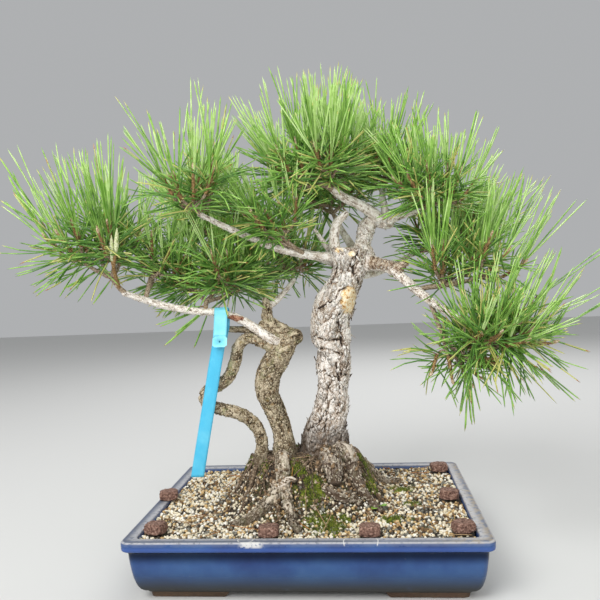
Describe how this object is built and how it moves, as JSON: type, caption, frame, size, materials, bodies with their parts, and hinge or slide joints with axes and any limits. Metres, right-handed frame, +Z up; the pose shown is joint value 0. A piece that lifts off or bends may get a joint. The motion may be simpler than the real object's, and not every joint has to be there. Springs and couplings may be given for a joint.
{
  "type": "japanese black pine bonsai in a tray pot",
  "caption": "Old twin-trunk Japanese black pine bonsai with open pads of long needles, in a shallow blue glazed rectangular tray with grit, surface roots and a blank plant label.",
  "frame": {"origin": "centre of the tray at the level of its feet, which is also the bottom centre of the whole plant's box", "axes": "+Z up, +X along the tray's long side to the right of the viewer, -Y towards the viewer"},
  "size_m": [0.6767, 0.3978, 0.5655],
  "materials": {
    "glazed_pot": "deep blue glaze, worn grey-blue along the rim, unglazed brown feet",
    "grit": "cream, tan and grey grit with moss",
    "trunk_bark": "rough grey-beige bark plates with dark fissures",
    "bough_bark": "fine scaly light grey-beige bark",
    "needles": "satin mid-green to yellow-green needles on brown twigs",
    "fertiliser_cake": "dry crumbly dark red-brown cake",
    "label_strip": "satin sky-blue plastic, blank"
  },
  "bodies": {
    "root": {"tray_pot": "glazed_pot", "pot_soil": "grit", "main_trunk": "trunk_bark", "second_trunk": "trunk_bark", "rear_stem": "trunk_bark", "loop_stem_lower": "trunk_bark", "loop_stem_upper": "trunk_bark", "dead_snag": "trunk_bark", "small_snag": "trunk_bark", "left_blunt_stub": "trunk_bark", "leader": "bough_bark", "upper_left_bough": "bough_bark", "top_left_bough": "bough_bark", "top_middle_bough": "bough_bark", "top_right_bough": "bough_bark", "right_bough": "bough_bark", "left_bough": "bough_bark", "back_spur_bough": "bough_bark", "back_left_bough": "bough_bark", "back_centre_bough": "bough_bark", "back_right_bough": "bough_bark", "far_left_needles": "needles", "left_spur_needles": "needles", "upper_left_needles": "needles", "inner_left_needles": "needles", "top_needles": "needles", "top_middle_needles": "needles", "top_right_needles": "needles", "right_middle_needles": "needles", "right_lower_needles": "needles", "right_hanging_needles": "needles", "centre_left_needles": "needles", "back_middle_needles": "needles", "back_left_needles": "needles", "back_centre_needles": "needles", "back_right_needles": "needles", "cake_left_back": "fertiliser_cake", "cake_left_front": "fertiliser_cake", "cake_front_left": "fertiliser_cake", "cake_front_right": "fertiliser_cake", "cake_right_front": "fertiliser_cake", "cake_right_middle": "fertiliser_cake", "cake_right_back": "fertiliser_cake", "plant_label": "label_strip"}
  },
  "joints": []
}
